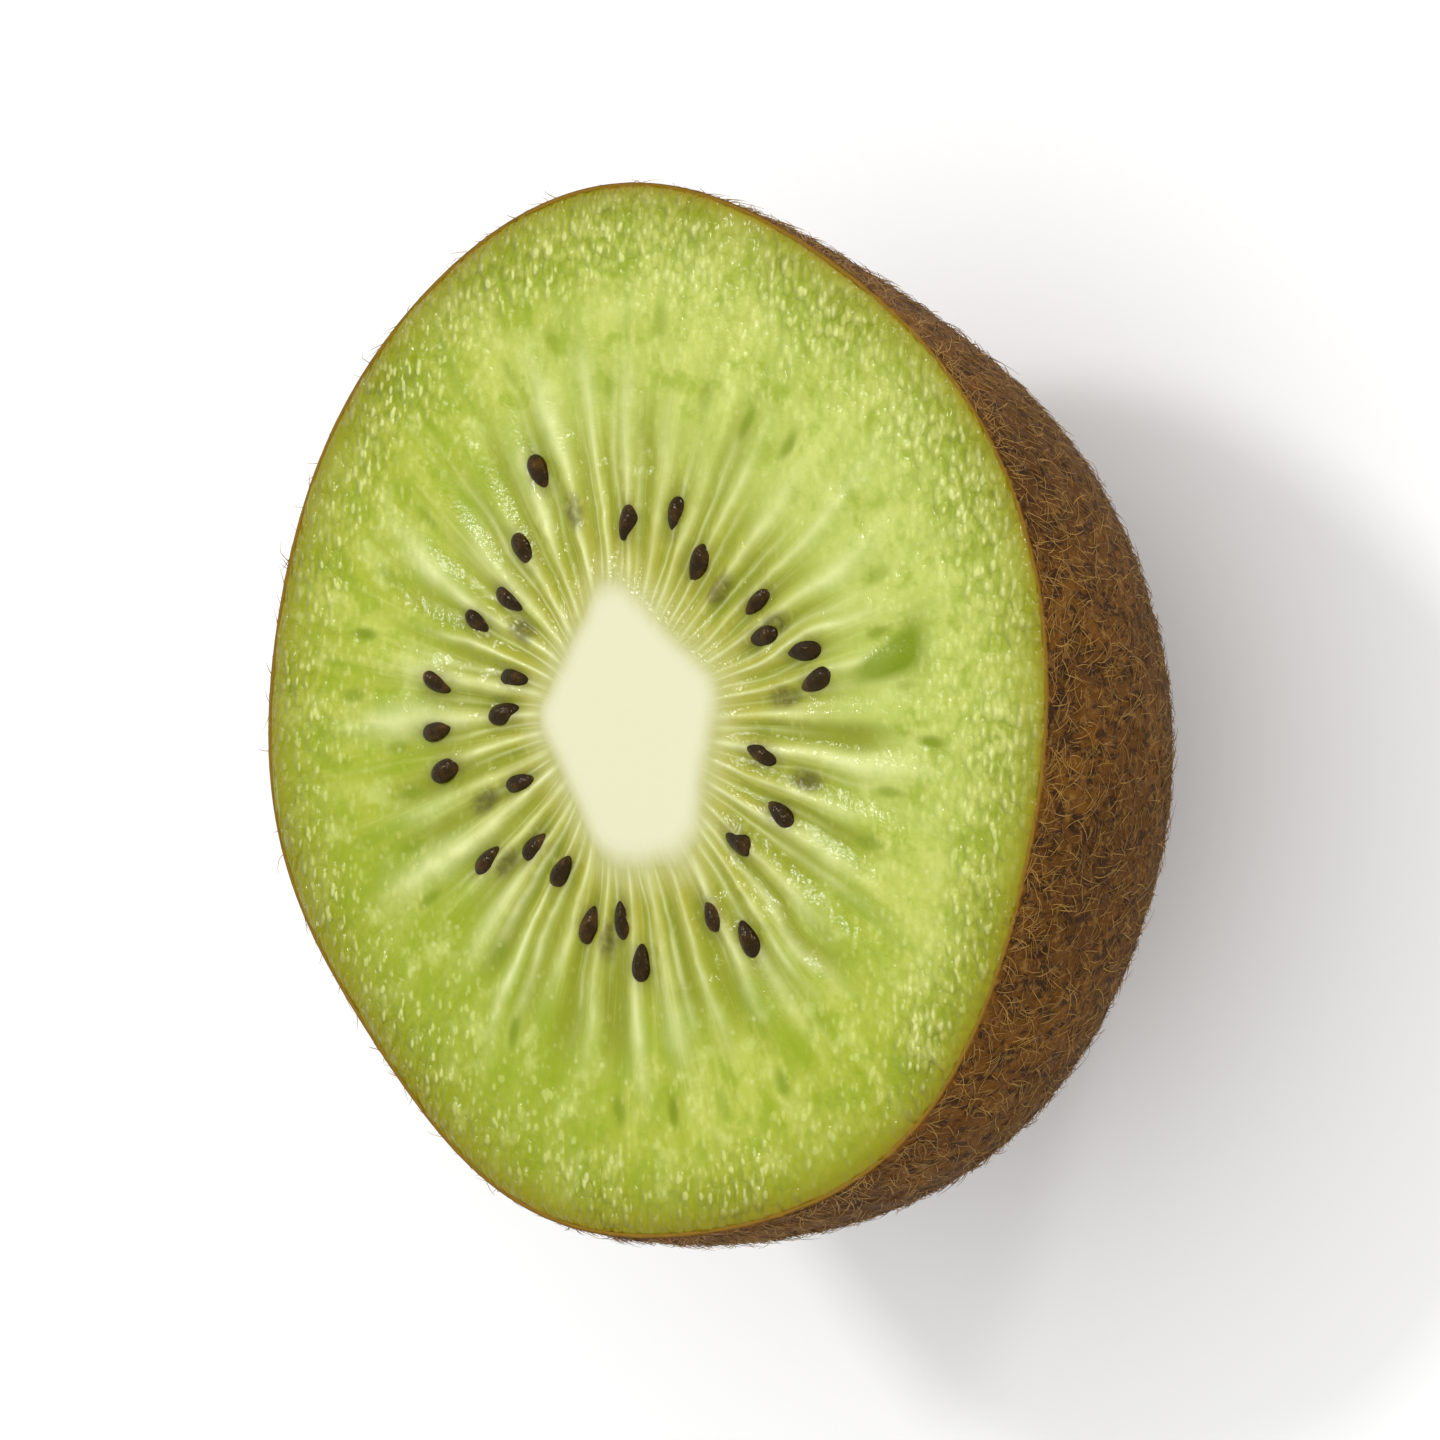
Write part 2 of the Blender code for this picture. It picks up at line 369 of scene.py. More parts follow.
class Look:
    """A node material, with short ways to add and join its nodes."""

    def __init__(self, name, **shader_values):
        self.material = bpy.data.materials.new(name)
        self.material.use_nodes = True
        self.tree = self.material.node_tree
        self.shader = self.tree.nodes["Principled BSDF"]
        self.give(self.shader, shader_values)

    def give(self, node, values):
        """Sets or links a node's inputs, by name or number."""
        for label, value in values.items():
            socket = node.inputs[label.replace("_", " ") if isinstance(label, str) else label]
            if isinstance(value, bpy.types.NodeSocket):
                self.tree.links.new(value, socket)
            else:
                socket.default_value = value

    def surface(self, **shader_values):
        """Sets or links the rest of the shader's inputs, and gives the material."""
        self.give(self.shader, shader_values)
        return self.material

    def add(self, kind, values, **settings):
        """A new node with these settings and input values."""
        node = self.tree.nodes.new(kind)
        for label, value in settings.items():
            setattr(node, label, value)
        self.give(node, values)
        return node

    def read(self, label, output="Fac"):
        """A mesh attribute, as a number unless its Vector output is asked for."""
        return self.add("ShaderNodeAttribute", {}, attribute_name=label).outputs[output]

    def place(self):
        """The place on the object, in metres."""
        return self.add("ShaderNodeTexCoord", {}).outputs["Object"]

    def scaled(self, vector, *factors):
        """A vector times a number for each axis."""
        return self.add("ShaderNodeMapping", {"Vector": vector, "Scale": factors}).outputs["Vector"]

    def noise(self, vector, scale, detail=3.0, roughness=0.55):
        """Noise from 0 to 1."""
        values = {"Vector": vector, "Scale": scale, "Detail": detail, "Roughness": roughness}
        return self.add("ShaderNodeTexNoise", values).outputs["Fac"]

    def cells(self, vector, scale):
        """Distance to the nearest point of a scattered set."""
        return self.add("ShaderNodeTexVoronoi", {"Vector": vector, "Scale": scale}).outputs["Distance"]

    def math(self, operation, *numbers, clamp=False):
        """One sum on two or three numbers."""
        node = self.add("ShaderNodeMath", dict(enumerate(numbers)), operation=operation, use_clamp=clamp)
        return node.outputs[0]

    def times(self, first, second):
        """Two numbers multiplied."""
        return self.math("MULTIPLY", first, second)

    def span(self, value, low, high, new_low=0.0, new_high=1.0):
        """A number moved from one span to another, smoothly and within its ends."""
        values = {"Value": value, "From Min": low, "From Max": high, "To Min": new_low, "To Max": new_high}
        return self.add("ShaderNodeMapRange", values, interpolation_type="SMOOTHSTEP").outputs["Result"]

    def layered(self, base, *layers):
        """A colour with others laid over it. Each layer is its share and its 0-255 display values."""
        share_input, under_input, over_input, colour_output = 0, 6, 7, 2
        colour = srgb(*base)
        for share, over in layers:
            values = {share_input: share, under_input: colour, over_input: srgb(*over)}
            colour = self.add("ShaderNodeMix", values, data_type="RGBA").outputs[colour_output]
        return colour

    def bump(self, height, distance, strength=1.0, under=None):
        """A normal from a height, on top of another normal."""
        values = {"Height": height, "Distance": distance, "Strength": strength}
        if under:
            values["Normal"] = under
        return self.add("ShaderNodeBump", values).outputs["Normal"]


def flesh_colour(look, granules):
    """Cream core, milky rays, olive seed chambers, grainy green outer flesh; painted light, shade and
    glints.
    """
    place, polar = look.place(), look.read("polar", "Vector")
    # pale carries the painted light and painted shade across the outer flesh
    share, grain, pale = look.read("share"), look.read("grain"), look.read("pale")
    clouds = look.noise(look.scaled(polar, 13.0, 13.0, 2.6), 1.0, 2.0, 0.5)
    streaks = look.noise(look.scaled(polar, 34.0, 34.0, 2.0), 1.0, 4.0, 0.62)
    threads = look.noise(look.scaled(polar, 95.0, 95.0, 3.0), 1.0, 3.0, 0.6)
    mottles = look.noise(place, 480.0, 3.0, 0.6)
    dimming = look.noise(place, 1800.0, 2.0, 0.5)

    outer = look.span(share, 0.35, 0.55)
    inner = look.times(look.span(share, 0.02, 0.1), look.span(share, 0.5, 0.3))
    deep_streaks = look.times(look.span(streaks, 0.44, 0.30, 0.0, 0.5), look.span(share, 0.75, 0.4))
    pale_clouds = look.times(look.span(share, 0.35, 0.6, 0.0, 0.75), look.span(clouds, 0.45, 0.75))
    deep_clouds = look.times(look.span(share, 0.30, 0.5, 0.0, 0.75), look.span(clouds, 0.5, 0.25))
    pale_mottles = look.times(outer, look.span(mottles, 0.52, 0.70, 0.0, 0.5))
    deep_mottles = look.times(outer, look.span(mottles, 0.49, 0.34, 0.0, 0.6))
    pale_threads = look.times(inner, look.span(threads, 0.55, 0.75, 0.0, 0.3))
    smudges = look.times(look.read("halo"), look.span(dimming, 0.3, 0.6, 0.6, 1.0))
    # Pale granule tops: partly the flesh's pale cells, partly painted glints
    pale_grains_and_glints = look.times(grain, look.span(granules, 0.57, 0.68))
    deep_grains = look.times(grain, look.span(granules, 0.53, 0.38, 0.0, 0.7))
    # Pale specks in the outer flesh: partly its own pale flecks, partly painted glints
    flecks_and_glint_dots = look.span(look.cells(place, 1150.0), 0.24, 0.08, 0.0, 0.4)
    specks = look.times(look.span(share, 0.3, 0.5), look.times(look.span(mottles, 0.42, 0.62), flecks_and_glint_dots))
    return look.layered(
        (160, 158, 46),
        (look.span(share, 0.12, 0.45), (148, 160, 34)),
        (look.span(share, 0.38, 0.74), (165, 176, 52)),
        (look.span(share, 0.78, 1.0), (155, 166, 24)),
        (deep_streaks, (140, 150, 26)),
        (look.span(streaks, 0.5, 0.72, 0.0, 0.5), (192, 197, 102)),
        (pale_clouds, (190, 198, 92)),
        (deep_clouds, (130, 154, 14)),
        # Painted light on one side of the outer flesh, then painted shade on the far side
        (look.span(pale, -0.2, 1.0, 0.0, 0.52), (201, 210, 120)),
        (look.span(pale, -0.55, -1.0, 0.0, 0.5), (136, 153, 10)),
        (pale_mottles, (203, 211, 122)),
        (deep_mottles, (138, 160, 14)),
        (look.read("well"), (132, 140, 20)),
        (pale_threads, (196, 194, 118)),
        (look.read("ray"), (221, 225, 158)),
        (look.read("dash"), (117, 137, 0)),
        (smudges, (64, 50, 0)),
        # pale granule tops, partly painted glints
        (pale_grains_and_glints, (222, 230, 142)),
        (deep_grains, (134, 154, 2)),
        # pale specks, partly painted glints
        (specks, (214, 220, 150)),
        # The rim's own deep green, with painted shade added on the far side
        (look.read("rim"), (134, 132, 0)),
        (look.read("lip"), (146, 108, 8)),
        (look.read("core"), (217, 216, 181)),
        (look.read("wall"), (122, 124, 30)),
    )


def flesh_look():
    """Wet translucent flesh, grainy near the rim and smooth at the core."""
    look = Look(
        "flesh",
        Subsurface_Weight=0.2,
        Subsurface_Radius=(1.0, 1.0, 0.4),
        Subsurface_Scale=0.0008,
        Coat_Weight=0.7,
        Coat_Roughness=0.08,
        Coat_IOR=1.34,
        Specular_IOR_Level=0.06,
    )
    core, grain = look.read("core"), look.read("grain")
    upright = look.scaled(look.place(), 2300.0, 1350.0, 1700.0)
    beads = look.math("SUBTRACT", 1.0, look.cells(upright, 1.0))
    granules = look.math("MULTIPLY_ADD", look.noise(upright, 0.9, 1.0, 0.4), 0.55, look.times(beads, 0.45))
    fine = look.noise(look.place(), 5200.0, 2.0, 0.5)
    calm = look.span(core, 0.2, 0.9, 1.0, 0.0)
    normal = look.bump(look.times(look.times(granules, grain), calm), 0.00062)
    normal = look.bump(look.times(fine, calm), 0.00003, under=normal)
    return look.surface(
        Base_Color=flesh_colour(look, granules),
        Roughness=look.span(core, 0.0, 1.0, 0.30, 0.42),
        Normal=normal,
        Coat_Normal=normal,
    )


def skin_look():
    """Dry brown skin with dark specks and paler scurf."""
    look = Look(
        "skin",
        Specular_IOR_Level=0.08,
        Sheen_Weight=0.08,
        Sheen_Roughness=0.4,
        Sheen_Tint=srgb(210, 176, 140),
    )
    place = look.place()
    broad = look.noise(place, 120.0, 4.0, 0.6)
    specks = look.noise(look.scaled(place, 1.0, 1.0, 0.55), 1500.0, 4.0, 0.7)
    scurf = look.noise(place, 2100.0, 3.0, 0.6)
    height = look.noise(place, 1500.0, 4.0, 0.65)
    colour = look.layered(
        (74, 44, 8),
        (look.span(broad, 0.35, 0.7), (106, 67, 15)),
        (look.span(specks, 0.49, 0.58, 0.0, 0.9), (44, 25, 9)),
        (look.span(scurf, 0.52, 0.68, 0.0, 0.65), (132, 97, 44)),
        (look.read("edge"), (142, 110, 34)),
    )
    roughness = look.span(height, 0.3, 0.7, 0.65, 0.95)
    return look.surface(Base_Color=colour, Roughness=roughness, Normal=look.bump(height, 0.00018, 0.8))


def seed_look():
    """Wet, near-black purple-brown seeds with a finely pitted coat."""
    look = Look(
        "seed",
        Coat_Weight=0.22,
        Coat_Roughness=0.07,
        Specular_IOR_Level=0.10,
        Specular_Tint=srgb(255, 200, 120),
    )
    place = look.place()
    blotch = look.noise(place, 1100.0, 3.0, 0.6)
    colour = look.layered((34, 23, 0), (look.span(blotch, 0.45, 0.75), (72, 48, 8)))
    roughness = look.span(blotch, 0.3, 0.7, 0.24, 0.34)
    normal = look.bump(blotch, 0.0002)
    normal = look.bump(look.cells(place, 7000.0), 0.00003, 0.6, under=normal)
    return look.surface(Base_Color=colour, Roughness=roughness, Normal=normal, Coat_Normal=normal)


def scar_look():
    """The dry woody scar of the stem."""
    look = Look("scar", Specular_IOR_Level=0.2)
    grain = look.noise(look.scaled(look.place(), 1.0, 1.0, 0.4), 1300.0, 5.0, 0.65)
    colour = look.layered(
        (92, 62, 28),
        (look.span(grain, 0.3, 0.7), (164, 126, 70)),
        (look.read("old"), (62, 38, 16)),
    )
    roughness = look.span(grain, 0.3, 0.7, 0.7, 0.95)
    return look.surface(Base_Color=colour, Roughness=roughness, Normal=look.bump(grain, 0.0002, 0.9))


def hair_look(name, dark, light):
    """Golden-brown hair. Each hair has its own tone."""
    look = Look(name, Roughness=0.5, Specular_IOR_Level=0.2)
    tone = look.math("MULTIPLY_ADD", look.read("tone"), 0.8, 0.5, clamp=True)
    along = look.span(look.noise(look.place(), 900.0, 2.0), 0.35, 0.7, 0.0, 0.35)
    return look.surface(Base_Color=look.layered(dark, (tone, light), (along, dark)))


def floor_look():
    """A plain pale floor."""
    look = Look("floor", Roughness=0.6, Specular_IOR_Level=0.2)
    tone = look.noise(look.place(), 3.0, 2.0)
    return look.surface(Base_Color=look.layered((250, 250, 250), (tone, (252, 252, 252))))


# Flesh

def seed_places():
    """Where each seed lies: its ray's angle, its place along the ray, its turn and its size."""
    draw = random.Random(SEED_DRAW)
    places = []
    for first, last, count, one, other in SEED_GROUPS:
        for i in range(count):
            angle = first + (last - first) * i / (count - 1) + draw.uniform(-1, 1)
            share = (other if i % 2 else one) + draw.uniform(-0.015, 0.015)
            places.append((angle, share, draw.uniform(-18, 18), draw.uniform(0.88, 1.06)))
    return places


def chamber_turns(angle, share):
    """How many chambers lie between angle 0 and each point. Their walls wander a little."""
    circle = np.concatenate((heading(angle) * 3.0, share[..., None] * 2.4), axis=-1)
    warped = angle + 2.6 * noise(circle, 0.9, 3) + 1.1 * noise(circle, 0.35, 4)
    return (warped / (360 / CHAMBERS)) % CHAMBERS


def ray_mask(draw, turns, share, width):
    """The milky rays: a broad one on each wall between chambers, and a fine one in each chamber."""
    count = 2 * CHAMBERS
    ends = draw.uniform(0.48, 0.84, count)
    strengths = draw.uniform(0.5, 1.0, count)
    breadths = draw.uniform(0.55, 1.35, count)
    shifts = draw.uniform(-0.16, 0.16, count)
    rays = np.zeros_like(share)
    for half, finer, weaker, shorter in ((0, 1.0, 1.0, 0.0), (1, 0.5, 0.65, 0.10)):
        place = turns - half / 2
        index = np.round(place).astype(int) % CHAMBERS + half * CHAMBERS
        aside = (place - np.round(place) - shifts[index] * half) * width
        breadth = (0.00016 + 0.00062 * smooth(0.05, 0.7, share)) * breadths[index] * finer
        end = ends[index] - shorter
        fade = smooth(-0.03, 0.04, share) * (1 - smooth(end - 0.34, end, share))
        line = np.exp(-((np.abs(aside) / breadth) ** 1.6)) * fade * strengths[index] * weaker
        rays = np.maximum(rays, line)
    return np.clip(rays, 0, 1)


def well_mask(draw, chamber, aside, share):
    """The olive hollows of the seed chambers."""
    ends = draw.uniform(0.42, 0.68, CHAMBERS)[chamber]
    widths = draw.uniform(0.22, 0.38, CHAMBERS)[chamber]
    strengths = draw.uniform(0.35, 1.0, CHAMBERS)[chamber]
    along = smooth(0.03, 0.14, share) * (1 - smooth(ends - 0.2, ends, share))
    return (1 - smooth(0.4, 1.3, np.abs(aside) / widths)) * along * strengths


def pocket_mask(draw, chamber, aside, share, width):
    """The small dark pockets at the outer ends of most chambers."""
    places = draw.uniform(0.46, 0.68, CHAMBERS)[chamber]
    there = draw.uniform(0, 1, CHAMBERS) < POCKET_CHANCE
    strengths = np.where(there, draw.uniform(0.4, 1.0, CHAMBERS), 0)[chamber]
    across = aside * width / POCKET_WIDTH
    along = (share - places) / POCKET_LENGTH
    return np.exp(-((across**2 + along**2) ** 1.8)) * strengths


def large_pocket(angle, share):
    """The one large dark pocket at the outer end of a chamber, wedge-shaped, from 0 to 1."""
    along = (share - LARGE_POCKET_PLACE) / LARGE_POCKET_LENGTH
    aside = np.radians(angle - LARGE_POCKET_ANGLE - 2.0 * along) * LARGE_POCKET_REACH
    across = aside / (LARGE_POCKET_WIDTH * (1 + 0.45 * along))
    wedge = np.minimum(1.3 * np.exp(-(np.abs(across) ** 3 + np.abs(along) ** 3)), 1)
    return wedge * (0.85 + 0.15 * smooth(-0.6, 0.5, along - 0.3 * across))


def chamber_masks(angle, share):
    """The rays, hollows and dark pockets of the flesh, each from 0 to 1."""
    draw = np.random.RandomState(CHAMBER_DRAW)
    turns = chamber_turns(angle, share)
    chamber = np.floor(turns).astype(int) % CHAMBERS
    aside = turns - np.floor(turns) - 0.5
    width = np.radians(360 / CHAMBERS) * (CORE_REACH + FLESH_WIDTH * np.maximum(share, 0))
    ray = ray_mask(draw, turns, share, width)
    well = well_mask(draw, chamber, aside, share)
    pocket = pocket_mask(draw, chamber, aside, share, width)
    return ray, well, np.maximum(pocket, large_pocket(angle, share))


def seed_halos(points):
    """Dim olive-brown smudges around the seeds and over the sunk ones, from 0 to 1."""
    halo = np.zeros(points.shape[:-1])
    places = [(angle, share, 0.6, 1.0, 1.3) for angle, share, _, _ in seed_places()]
    places += [(angle, share, 0.75, 0.85, 1.8) for angle, share in SUNK_SEEDS]
    for angle, share, strength, size, edge in places:
        middle, ahead = ray_place(angle, share)
        x, y = np.moveaxis(points[..., :2] - middle[:2], -1, 0)
        along = (x * ahead[0] + y * ahead[1]) / (SMUDGE_LENGTH * size)
        across = (x * ahead[1] - y * ahead[0]) / (SMUDGE_WIDTH * size)
        halo = np.maximum(halo, strength * np.exp(-((along**2 + across**2) ** edge)))
    return halo


def flesh_masks(angle, share, points):
    """What the flesh's colours and relief need at each point of the plain cut face."""
    ray, well, dash = chamber_masks(angle, share)
    ray = ray * np.clip(0.85 + 0.45 * noise(points, 0.0011, 25), 0, 1)
    blurred = share + 0.02 * noise(points, 0.0012, 9) + 0.012 * noise(points, 0.0005, 10)
    core = 1 - smooth(-0.20, 0.12, blurred - 0.03 * ray)
    # Painted light and shade: pale is above 0 where light is painted and below 0 where shade is painted
    facing_painted_light = np.cos(np.radians(angle - PAINTED_LIGHT_SIDE))
    pale = (facing_painted_light + 0.4 * noise(points, 0.006, 26)) * smooth(0.2, 0.55, share)
    to_rim = (1 - share) * FLESH_WIDTH
    rim = 0.7 * np.exp(-to_rim / 0.0009) + 0.4 * np.exp(-to_rim / 0.0024)
    ragged = np.clip(0.65 + 0.6 * noise(points, 0.0022, 28), 0.15, 1)
    grain = 0.10 + 0.25 * smooth(0.45, 0.75, share) + 0.65 * smooth(0.70, 0.92, share)
    grain = grain * (1 - core) * (0.8 + 0.5 * noise(points, 0.003, 27)) * (1 - 0.8 * dash)
    return {
        "share": share,
        "core": core,
        "ray": ray,
        "well": well,
        "dash": dash,
        "halo": seed_halos(points),
        "grain": grain,
        # painted light and painted shade
        "pale": pale,
        # The rim's own deep green, deepened further as painted shade on the side away from the painted
        # light
        "rim": np.clip(rim * (1.2 - 0.3 * facing_painted_light), 0, 1),
        "lip": ragged * np.exp(-to_rim / 0.00014),
        "wall": np.zeros_like(share),
    }


def flesh_lift(masks, points):
    """How far the flesh's fine relief stands out of the plain cut face. Its rim rolls down."""
    share, core = masks["share"], masks["core"]
    lumps = noise(points, 0.0006, 21) + 0.6 * noise(points * (1.3, 0.7, 1), 0.0004, 22)
    lift = 0.000035 * lumps * masks["grain"] + 0.00006 * masks["ray"] - 0.00005 * masks["well"]
    lift = lift + 0.00005 * noise(points, 0.0018, 23) * (1 - core) * (1 - masks["dash"])
    juicy = smooth(0.06, 0.16, share) * (1 - smooth(0.30, 0.45, share))
    lift = lift + 0.00007 * juicy * noise(points, 0.00055, 24)
    roll = np.clip(1 - (1 - share) * FLESH_WIDTH / 0.0007, 0, 1) ** 2
    return lift - 0.00022 * roll


def make_flesh(material):
    """The flesh with its core: a finely divided cut face over a plain underside inside the skin."""
    inner = -1 + np.arange(1, CORE_RINGS + 1) / CORE_RINGS
    outer = np.arange(1, FLESH_RINGS + 1) / FLESH_RINGS
    angle, share = np.meshgrid(around(FLESH_COLUMNS), np.concatenate((inner, outer)))
    top = face_point(angle, share)
    masks = flesh_masks(angle, share, top)
    top[..., 2] += flesh_lift(masks, top)

    angle_below, depth = np.meshgrid(around(FLESH_COLUMNS), UNDERSIDE_DEPTHS)
    under = skin_point(angle_below, depth, inset=UNDERSIDE_INSET)
    middle = face_point(np.zeros(1), -np.ones(1))
    pole = [(0, 0, SCAR_THICKNESS + SKIN_THICKNESS)]
    points = np.concatenate((middle, top.reshape(-1, 3), under.reshape(-1, 3), pole))
    rings = len(top) + len(under)
    faces = [
        cap_faces(0, 1, FLESH_COLUMNS),
        ring_faces(rings, FLESH_COLUMNS, 1),
        cap_faces(len(points) - 1, 1 + (rings - 1) * FLESH_COLUMNS, FLESH_COLUMNS, flip=True),
    ]

    circle = np.concatenate((heading(angle), share[..., None]), axis=-1)
    circle_below = np.concatenate((heading(angle_below), np.ones_like(depth)[..., None]), axis=-1)
    polar = ([(0, 0, -1)], circle.reshape(-1, 3), circle_below.reshape(-1, 3), [(0, 0, 1)])
    attributes = {"polar": np.concatenate(polar)}
    middle_and_below = {"share": (-1, 1), "core": (1, 0), "rim": (0, 1), "lip": (0, 1), "wall": (0, 1)}
    for label, values in masks.items():
        at_middle, below = middle_and_below.get(label, (0, 0))
        attributes[label] = np.concatenate(([at_middle], values.ravel(), np.full(depth.size + 1, below)))
    return make_mesh("flesh", points, faces, attributes, material)


# Skin, scar and seeds

def eased(count):
    """Steps up to 1 that get shorter towards it."""
    return np.sin(np.radians(90 * np.arange(1, count + 1) / count))


def skin_edge(angle):
    """The skin's cut edge as three rings: inside, top and outside."""
    circle = np.concatenate((heading(angle) * EDGE_CIRCLE, np.zeros((len(angle), 1))), axis=1)
    ragged = 0.00004 * noise(circle, 0.0005, 33)
    rings = []
    for inset, lift in ((0.00022, 0.00002 + ragged), (0.00006, 0.00003 + ragged), (0.0, -0.00003)):
        ring = skin_point(angle, np.zeros_like(angle), inset)
        ring[:, 2] += lift
        rings.append(ring)
    return np.array(rings)


def make_skin(material):
    """The thin skin: its cut edge, its outer side down to the stem scar, and an inner side."""
    deepest = depth_at_radius(SKIN_START * SCAR_RADIUS)
    angle, depth = np.meshgrid(around(SKIN_COLUMNS), deepest * eased(SKIN_RINGS))
    outer = skin_point(angle, depth)
    bumps = 0.00007 * noise(outer, 0.0012, 31) + 0.00006 * noise(outer, 0.0005, 32) - 0.00006
    outer = outer + unit(outer - SKIN_INSIDE) * bumps[..., None]
    angle, depth = np.meshgrid(around(SKIN_COLUMNS), deepest * eased(SKIN_INNER_RINGS)[::-1])
    inner = skin_point(angle, depth, SKIN_THICKNESS)
    rings = np.concatenate((inner, skin_edge(around(SKIN_COLUMNS)), outer))

    row = np.arange(SKIN_COLUMNS)
    after = (row + 1) % SKIN_COLUMNS
    last = (len(rings) - 1) * SKIN_COLUMNS
    join = np.stack((last + row, row, after, last + after), axis=1)
    edge = np.zeros(rings.shape[:2])
    edge[len(inner)] = 1
    edge[len(inner) + 1] = 0.6
    faces = [ring_faces(len(rings), SKIN_COLUMNS), join]
    return make_mesh("skin", rings.reshape(-1, 3), faces, {"edge": edge.ravel()}, material)


def make_scar(material):
    """The woody stem scar with a flaky rim. Its underside is flat, with shallow dents and a pit."""
    angle = around(SCAR_COLUMNS)
    draw = np.random.RandomState(SCAR_DRAW)
    flaky = 1 + 0.03 * draw.uniform(-1, 1, SCAR_COLUMNS)
    underside = [(reach, 0.0) for reach in np.linspace(0.96, 0.08, SCAR_UNDERSIDE_RINGS)]
    rings = []
    for reach, height in SCAR_RINGS + tuple(underside):
        radius = SCAR_RADIUS * waved(angle, SCAR_WAVES) * reach * (flaky if reach > 1 else 1)
        heights = np.full((SCAR_COLUMNS, 1), height)
        ring = np.concatenate((heading(angle) * radius[:, None], heights), axis=1)
        if height == 0:
            dents = SCAR_DENT * np.clip(noise(ring, 0.0009, 51) + 0.2, 0, 1)
            ring[:, 2] = dents * smooth(0.95, 0.8, reach) + SCAR_PIT * smooth(0.4, 0.1, reach)
        rings.append(ring)
    points = np.concatenate(([(0, 0, SCAR_TOP)], *rings, [(0, 0, SCAR_PIT_MIDDLE)]))
    from_axis = np.linalg.norm(points[:, :2], axis=1) / SCAR_RADIUS
    spots = 0.3 * noise(points, 0.0007, 52)
    old = np.clip(smooth(0.78, 1.1, from_axis) + smooth(0.35, 0.05, from_axis) + spots, 0, 1) * 0.85
    faces = [
        cap_faces(0, 1, SCAR_COLUMNS),
        ring_faces(len(rings), SCAR_COLUMNS, 1),
        cap_faces(len(points) - 1, 1 + (len(rings) - 1) * SCAR_COLUMNS, SCAR_COLUMNS, flip=True),
    ]
    return make_mesh("stem_scar", points, faces, {"old": old}, material)


def seed_form():
    """The points of a seed that lies along X, its pointed end first, with a slight ridge."""
    turn = np.arange(SEED_COLUMNS) * 2 * math.pi / SEED_COLUMNS
    along = -np.cos(math.pi * (np.arange(1, SEED_RINGS) / SEED_RINGS))[:, None]
    girth = np.sqrt(1 - along**2) * (1 + 0.30 * along) ** 0.9
    x = 0.5 * SEED_LENGTH * along + 0 * turn
    y = 0.5 * SEED_WIDTH * girth * np.cos(turn) * (1 + 0.05 * np.cos(2 * turn))
    z = 0.5 * SEED_THICKNESS * girth * np.sin(turn)
    body = np.stack((x, y, z), axis=-1).reshape(-1, 3)
    end = np.array([(0.5 * SEED_LENGTH, 0, 0)])
    return np.concatenate((-end, body, end))


def make_seeds(material):
    """The seeds as one mesh, their pointed ends towards the core."""
    form = seed_form()
    rings = SEED_RINGS - 1
    form_faces = (
        cap_faces(0, 1, SEED_COLUMNS, flip=True),
        ring_faces(rings, SEED_COLUMNS, 1)[:, ::-1],
        cap_faces(len(form) - 1, 1 + (rings - 1) * SEED_COLUMNS, SEED_COLUMNS),
    )
    points, faces = [], []
    for number, (angle, share, lean, size) in enumerate(seed_places()):
        place, ahead = ray_place(angle, share)
        place[2] += SEED_STANDS_OUT - SEED_THICKNESS * size / 2
        direction = math.atan2(ahead[1], ahead[0]) + math.radians(lean)
        tilt = math.radians(8 * math.sin(number * 2.4))
        spin = Matrix.Rotation(direction, 3, "Z") @ Matrix.Rotation(tilt, 3, "Y")
        points.append((form * size) @ np.array(spin).T + place)
        faces += [rows + number * len(form) for rows in form_faces]
    return make_mesh("seeds", np.concatenate(points), faces, {}, material)


# Hairs

def skin_roots(draw, count, gather):
    """Scattered places on the skin: points, normals, and the ways to the pole and around.

    They are even at a gather of 1, and crowd towards the cut above it.
    """
    depths = np.linspace(0, depth_at_radius(1.1 * SCAR_RADIUS), ROOT_STEPS)
    ring = skin_point(np.zeros(ROOT_STEPS), depths)
    step = np.linalg.norm(np.diff(ring, axis=0), axis=1)
    radius = np.linalg.norm(ring[:, :2], axis=1)
    area = np.concatenate(([0], np.cumsum(step * (radius[1:] + radius[:-1]))))
    depth = np.interp(draw.uniform(0, 1, count) ** gather, area / area[-1], depths)
    angle = draw.uniform(0, 360, count)
    here = skin_point(angle, depth)
    down = skin_point(angle, depth + 0.002) - here
    side = skin_point(angle + 0.3, depth) - here
    return here, unit(np.cross(down, side)), unit(down), unit(side)


def strand_faces(count, joints):
    """The faces of three-sided tubes with this many joints, closed at both ends."""
    start = (np.arange(count) * joints * 3)[:, None]
    faces = []
    for joint in range(joints - 1):
        for corner in range(3):
            a, b = 3 * joint + corner, 3 * joint + (corner + 1) % 3
            faces.append(start + np.array([[a, b, b + 3, a + 3]]))
    tip = 3 * (joints - 1)
    return faces + [start + np.array([[2, 1, 0]]), start + np.array([[tip, tip + 1, tip + 2]])]


